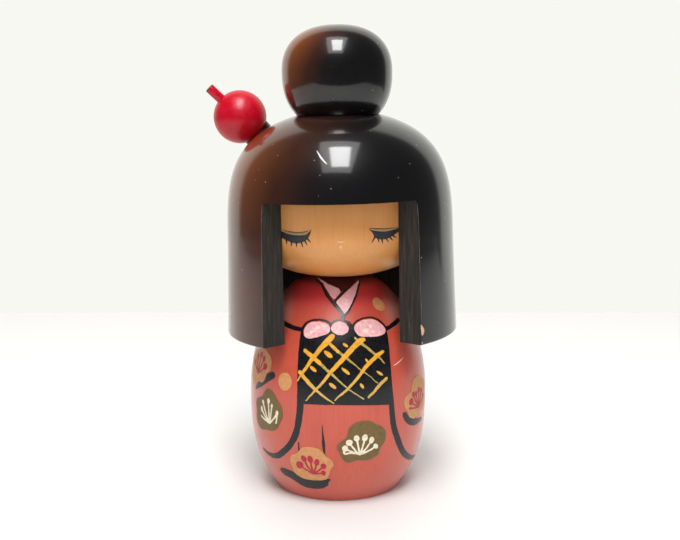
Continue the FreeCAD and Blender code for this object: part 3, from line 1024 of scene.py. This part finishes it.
    shadows = [
        curve_through([(-18, 7.5), (-17.2, 8.4), (-15, 8.4), (-13, 8.1), (-11.5, 7.4), (-7, 7.2), (-4, 7.4),
                       (-2.0, 7.2), (-2.6, 6.4), (-2.9, 5.3), (-4.8, 4.2), (-8, 3.8), (-10.5, 4.0),
                       (-12.5, 4.8), (-14.5, 5.8), (-17, 6.4)], True),
        stroke(KIMONO, [(-18.6, 32.5, 1.8), (-20.3, 31.7, 2.0), (-22.2, 30.4, 2.0), (-24.3, 29.0, 1.6),
                        (-26.4, 27.6, 0.8)]),
        stroke(KIMONO, [(18.6, 22.5, 1.4), (19.8, 21, 1.7), (21.8, 19.8, 1.8), (24.5, 19.2, 1.6),
                        (28, 19.0, 0.8)])]
    paint("blossom_shadows", KIMONO, shadows, BLACK_PAINT, FILM)
    tan = [
        curve_through([(-10.5, 14.1), (-9.3, 15.5), (-7.3, 16.0), (-5.3, 15.8), (-3.8, 14.9), (-3, 13.7),
                       (-1.6, 12.8), (-1.15, 11.5), (-1.9, 10.2), (-2.4, 8.7), (-3.1, 7.4), (-5, 6.8),
                       (-8, 6.6), (-10.6, 6.9), (-12.4, 8.0), (-12.9, 9.6), (-13.2, 11.3), (-12.7, 12.9),
                       (-11.4, 13.6)], True),
        curve_through([(-23.5, 37.9), (-21.5, 37.3), (-20.2, 36.4), (-19.6, 35), (-20, 33.4), (-21.2, 32.2),
                       (-21.7, 30.8), (-23, 29.8), (-25, 29.6), (-26.5, 28.5), (-28.3, 28.4), (-30, 29.6),
                       (-30.5, 31.5), (-31.2, 33.5), (-30.8, 35.7), (-29, 36.9), (-27, 37.2),
                       (-25.2, 38.1)], True),
        curve_through([(21.4, 27.9), (21.7, 29.3), (23, 30.7), (24.8, 31.2), (26.8, 30.6), (28.3, 29.7),
                       (29.8, 28.8), (30.6, 27), (30, 25.3), (30.2, 23.6), (29.4, 22.2), (28, 21.5),
                       (26.3, 21.2), (24.3, 20.6), (22.3, 20.6), (20.6, 21.4), (19.8, 22.9), (18.8, 24),
                       (18.3, 25.4), (18.8, 26.7), (20, 27.4)], True),
        ellipse(KIMONO, -14.2, 31.7, 4.1, 4.5), ellipse(KIMONO, 17.0, 49.7, 3.5, 3.9)]
    paint("blossoms_tan", KIMONO, tan, TAN_PAINT, FILM * 2)
    olive = [
        curve_through([(-0.2, 16.5), (0.8, 17.8), (2.1, 18.8), (2.6, 20.9), (4, 22.3), (6, 22.9),
                       (8.3, 22.6), (9.5, 21.7), (11, 21), (12.2, 19.8), (12.5, 18.3), (12, 16.5),
                       (11, 15.3), (10.6, 13.7), (9, 12.7), (7, 12.4), (5, 12.7), (3.5, 12.2), (2, 12.3),
                       (0.9, 13.6), (0.2, 15)], True),
        curve_through([(-19.6, 28.9), (-17.7, 28.2), (-16.6, 26.9), (-15.3, 25.6), (-14.7, 24),
                       (-14.8, 22.3), (-15.6, 21), (-16.4, 19.6), (-17.8, 18.5), (-19.5, 18.1),
                       (-21.2, 18), (-22.6, 17.5), (-24.4, 17.7), (-25.8, 18.9), (-26.1, 20.6),
                       (-25.6, 22), (-26.1, 23.4), (-25.6, 24.9), (-24, 25.8), (-22.5, 26.4),
                       (-21.6, 27.6), (-20.8, 28.5)], True)]
    paint("blossoms_olive", KIMONO, olive, OLIVE_PAINT, FILM * 2)
    crimson = blossom_stamens(KIMONO, (-6.8, 8.7), [
        (-10.4, 10.7, 2.1, 2.2, 0), (-9.0, 12.6, 1.5, 1.8, 20), (-7.2, 12.7, 1.5, 2.1, 10),
        (-5.5, 12.0, 1.3, 2.0, -10), (-3.8, 11.0, 1.4, 1.6, -20), (-3.9, 9.1, 1.2, 1.6, 0)], 0.45)
    crimson += blossom_stamens(KIMONO, (-25.6, 31.6), [
        (-22.2, 34.0, 1.7, 1.8, 0), (-23.4, 35.7, 1.4, 1.6, 0), (-25.3, 36.3, 1.4, 1.6, 0),
        (-27.4, 35.6, 1.4, 1.6, 0), (-28.6, 33.9, 1.3, 1.5, 0)], 0.45)
    crimson += blossom_stamens(KIMONO, (25.2, 22.9), [
        (21.3, 25.2, 2.0, 1.9, 0), (22.3, 26.9, 1.2, 1.5, 20), (23.7, 26.7, 1.2, 1.6, 10),
        (25.3, 27.3, 1.2, 1.6, 0), (27.0, 26.8, 1.2, 1.5, -20), (28.4, 25.0, 1.2, 1.3, 0),
        (20.8, 23.6, 0.7, 0.7, 0)], 0.45)
    paint("stamens_crimson", KIMONO, crimson, CRIMSON_PAINT, FILM * 3, 0.12)
    cream = blossom_stamens(KIMONO, (5.6, 14.2), [
        (1.8, 16.0, 1.5, 1.7, 20), (2.8, 17.5, 1.7, 1.6, 0), (4.6, 18.5, 1.4, 1.6, 10),
        (6.7, 18.5, 1.4, 1.8, -5), (8.5, 17.7, 1.3, 1.8, -10), (9.7, 15.9, 1.2, 1.5, 30)], 0.45)
    cream.append(stroke(KIMONO, [(1.5, 15.2, 0.6), (1.7, 14.6, 0.5), (3.4, 14.7, 0.45), (5.6, 14.5, 0.5)]))
    cream += blossom_stamens(KIMONO, (-19.4, 20.1), [
        (-19.6, 25.8, 1.1, 1.4, 0), (-22.0, 25.0, 0.8, 1.1, 20), (-18.3, 24.8, 0.8, 1.1, -10),
        (-22.7, 23.0, 0.9, 1.5, 0), (-16.5, 23.2, 0.9, 1.6, -10), (-23.0, 21.1, 0.6, 0.5, 0)], 0.45)
    cream.append(stroke(KIMONO, [(-16.4, 23.4, 0.6), (-16.6, 22, 0.5), (-16.9, 20.7, 0.45)]))
    paint("stamens_cream", KIMONO, cream, CREAM_PAINT, FILM * 3, 0.12)
    scratch = stroke(KIMONO, [(15.6, 35.4, 0.08), (17.4, 35.9, 0.2), (19.6, 36.7, 0.1)])
    paint("scratch_in_the_varnish", KIMONO, [scratch], DOT_PAINT, FILM * 0.5, 0.05, 0.5)


def paint_hair_wear_and_highlights():
    """A gouge in the lacquer over the brow with a painted highlight on its edge, a chip at the edge of a
    lock, and a painted highlight along the saw-cut edges.
    """
    gouge = stroke(HAIR, [(-5.8, 88.85, 0.15), (-4.65, 87.9, 0.55), (-3.5, 86.85, 0.55),
                          (-2.6, 85.95, 0.15)])
    # Painted highlight: a pale line along the gouge's edge, where it catches the light.
    lip = stroke(HAIR, [(-6.1, 88.7, 0.1), (-5.05, 87.55, 0.35), (-3.95, 86.45, 0.35), (-3.0, 85.7, 0.1)])
    paint("lacquer_gouge_edge_painted_highlight", HAIR, [lip], GOUGE_EDGE_HIGHLIGHT, FILM * 0.6, 0.05, 0.5)
    paint("lacquer_gouge", HAIR, [gouge], BLACK_PAINT, FILM * 1.2, 0.05, 0.5)
    chips = [
        curve_through([(20.2, 46.7), (20.45, 46.5), (20.75, 46.0), (21.1, 45.4), (21.15, 44.8), (20.8, 44.1),
                       (20.4, 43.9), (20.25, 44.3), (20.15, 45.5)], True),
        curve_through([(20.2, 42.4), (20.5, 42.2), (20.45, 41.95), (20.2, 42.0)], True)]
    paint("bare_wood_chip", HAIR, chips, BARE_WOOD, FILM * 0.8, 0.05, 0.5)
    # Painted highlight: a lighter grey line along each saw-cut edge, where the edge catches the light.
    edges = []
    for side in (-1, 1):
        highlight_widths = [(76.0, 0.08), (74.0, 0.2), (70.0, 0.1), (64.0, 0.18), (58.0, 0.08), (50.0, 0.14),
                (47.5, 0.08)]
        edges.append(stroke(HAIR, [(side * (cut_azimuth(cap_radius(z)) * CAP_SIDE_RADIUS + 0.3), z, width)
                                   for z, width in highlight_widths]))
    paint("saw_edges_painted_highlight", HAIR, edges, SAW_EDGE_HIGHLIGHT, FILM * 0.4, 0.06, 0.5)


def paint_face():
    """Closed eyes with lashes and a painted highlight along each upper edge, and two pale touches for nose
    and mouth.
    """
    left_eye = curve_through([
        (-15.6, 69.45), (-13.15, 68.9), (-10.9, 68.7), (-8.56, 68.85), (-7.35, 69.6), (-6.9, 70.2),
        (-7.3, 68.8), (-8.2, 67.6), (-9.8, 66.85), (-11.65, 66.7), (-13.5, 67.25), (-15.6, 68.2)], True, 0.2)
    right_eye = curve_through([
        (7.0, 69.95), (8.45, 69.5), (10.2, 69.2), (12.5, 69.2), (14.4, 69.5), (15.6, 69.85), (15.6, 69.0),
        (14.0, 68.25), (12.1, 67.45), (10.2, 67.25), (8.45, 67.9), (7.8, 69.1)], True, 0.2)
    paint("eyes", FACE, [left_eye, right_eye], EYE_PAINT, FILM, 0.05, 0.7)
    # Painted highlight: a grey-brown band along the upper edge of each eye stands for the glare on the ridge
    # of the eye paint.
    eye_glare = [stroke(FACE, [(-14.3, 69.45, 0.25), (-12.5, 69.17, 0.4), (-10.9, 69.05, 0.42),
                          (-9.0, 69.17, 0.4), (-7.9, 69.55, 0.2)]),
            stroke(FACE, [(8.2, 69.85, 0.2), (10.0, 69.58, 0.35), (12.5, 69.55, 0.35), (14.8, 69.9, 0.25)])]
    paint("painted_glare_over_the_eyes", FACE, eye_glare, EYE_GLARE_PAINT, FILM * 0.6, 0.05, 0.7)
    lashes = []
    for (u0, z0), (u1, z1) in (
            ((-14.9, 68.0), (-15.4, 67.2)), ((-13.7, 67.4), (-13.65, 66.4)), ((-12.2, 66.95), (-12.5, 65.9)),
            ((-10.9, 66.9), (-11.0, 65.75)), ((-9.6, 67.05), (-9.25, 65.85)), ((-8.6, 67.4), (-8.1, 66.35)),
            ((-7.9, 67.9), (-7.15, 67.1)), ((8.5, 68.1), (7.65, 66.6)), ((9.2, 67.6), (9.5, 66.6)),
            ((10.2, 67.4), (10.55, 66.2)), ((11.3, 67.5), (12.15, 66.5)), ((12.4, 67.7), (13.3, 66.8)),
            ((13.3, 68.0), (14.3, 67.3))):
        lashes.append(stroke(FACE, [(u0, z0, 0.42), ((u0 + u1) / 2, (z0 + z1) / 2, 0.32), (u1, z1, 0.1)]))
    lashes.append(stroke(FACE, [(-14.8, 69.85, 0.08), (-12.9, 69.5, 0.12), (-10.9, 69.36, 0.12),
                                (-9.0, 69.48, 0.12), (-7.6, 69.9, 0.08)]))
    lashes.append(stroke(FACE, [(7.2, 70.1, 0.12), (9.0, 69.95, 0.14), (11.0, 69.8, 0.1),
                                (13.0, 69.85, 0.08)]))
    paint("lashes", FACE, lashes, BLACK_PAINT, FILM * 1.6, 0.04)
    marks = [stroke(FACE, [(-0.6, 67.25, 0.15), (0.2, 67.1, 0.3), (1.0, 67.25, 0.15)]),
             ellipse(FACE, 0.05, 65.9, 0.6, 0.5), stroke(FACE, [(0.0, 65.9, 0.28), (0.35, 65.3, 0.12)])]
    paint("nose_and_mouth", FACE, marks, PALE_PAINT, FILM * 0.6, 0.05)


# ---------------------------------------------------------------------------------------------
# Stage in metres: table, lights, backdrop and camera.
# ---------------------------------------------------------------------------------------------
TABLE_LEFT = -0.45
TABLE_RIGHT = 0.6
TABLE_FRONT = -0.36
TABLE_END = 0.214
LIT_PLACE = Vector((0.0, 0.0, 0.08))
SOFTBOX_WAY = Vector((0.005, -0.445, 0.895))
LOOK_AT = Vector((0.0005, 0.0, 0.0565))
CAMERA_PLACE = Vector((0.0005, -0.2672, 0.1019))


def make_table():
    """A white board; its far edge meets the pale backdrop."""
    edge = [(TABLE_LEFT, TABLE_FRONT, 0.0), (TABLE_RIGHT, TABLE_FRONT, 0.0), (TABLE_RIGHT, TABLE_END, 0.0),
            (TABLE_LEFT, TABLE_END, 0.0)]
    mesh = bpy.data.meshes.new("table")
    mesh.from_pydata(edge, [], [(0, 1, 2, 3)])
    mesh.materials.append(table_paint())
    table = bpy.data.objects.new("table", mesh)
    bpy.context.scene.collection.objects.link(table)


def area_light(name, place, target, width, height, power, glossy=True):
    """A rectangular softbox; one that isn't glossy lights the doll without a mirror image."""
    light = bpy.data.lights.new(name, "AREA")
    light.shape = "RECTANGLE"
    light.size = width
    light.size_y = height
    light.energy = power
    lamp = bpy.data.objects.new(name, light)
    lamp.location = place
    lamp.rotation_euler = (target - place).to_track_quat("-Z", "Y").to_euler()
    lamp.visible_glossy = glossy
    bpy.context.scene.collection.objects.link(lamp)


def make_lights():
    """A bright softbox high in front, a dimmer diffuser round it, and weak lights that leave no gloss."""
    area_light("softbox", LIT_PLACE + SOFTBOX_WAY * 0.8, LIT_PLACE, 0.225, 0.49, 5.3)
    diffuser_shift = Vector((-0.025, 0.022, 0.011))
    area_light("softbox_rim", LIT_PLACE + SOFTBOX_WAY * 0.82 + diffuser_shift, LIT_PLACE, 0.43, 0.83, 3.1)
    area_light("fill", LIT_PLACE + Vector((0.0, -0.94, 0.34)) * 0.9, LIT_PLACE, 0.6, 0.5, 1.7, False)
    area_light("overhead", Vector((0.0, 0.35, 0.9)), Vector((0.0, 0.2, 0.0)), 0.8, 0.8, 3.2, False)
    for side in (-1, 1):
        area_light("bounce", Vector((side * 0.5, -0.05, 0.2)), Vector((0.0, 0.0, 0.01)), 0.4, 0.3, 0.25,
                   False)


def make_backdrop():
    """A pale backdrop behind the doll in a dark room; the camera sees the backdrop from every side."""
    world = bpy.data.worlds.new("pale_backdrop_in_a_dark_room")
    bpy.context.scene.world = world
    world.use_nodes = True
    tree = world.node_tree
    tree.nodes.clear()
    place = add(tree, "TexCoord")
    direction = add(tree, "SeparateXYZ", None, {"Vector": (place, "Generated")})
    behind = add(tree, "MapRange", {"interpolation_type": "SMOOTHSTEP"}, {
        "Value": (direction, "Y"), "From Min": 0.44, "From Max": 0.58})
    path = add(tree, "LightPath")
    shown = add(tree, "Math", {"operation": "MAXIMUM"}, {0: (behind, "Result"), 1: (path, "Is Camera Ray")})
    room = add(tree, "Mix", {"data_type": "RGBA"}, {0: (shown, "Value"), 6: grey(0.07),
                                                    7: colour("f8f8f2")})
    back = add(tree, "Background", None, {"Color": (room, 2), "Strength": 1.0})
    add(tree, "OutputWorld", None, {"Surface": (back, "Background")})


def make_camera():
    """The viewpoint: a little above the doll, looking slightly down."""
    lens = bpy.data.cameras.new("camera")
    lens.sensor_width = 36.0
    lens.lens = 55.2
    lens.clip_start = 0.01
    camera = bpy.data.objects.new("camera", lens)
    camera.location = CAMERA_PLACE
    camera.rotation_euler = (LOOK_AT - CAMERA_PLACE).to_track_quat("-Z", "Y").to_euler()
    bpy.context.scene.collection.objects.link(camera)
    bpy.context.scene.camera = camera


make_body()
make_face()
make_cap()
make_bun()
make_bead()
make_stick()
make_pin_seat()
paint_kimono()
paint_face()
paint_hair_wear_and_highlights()
finish_pegs()
make_table()
make_lights()
make_backdrop()
make_camera()
bpy.context.scene.view_settings.view_transform = "Standard"
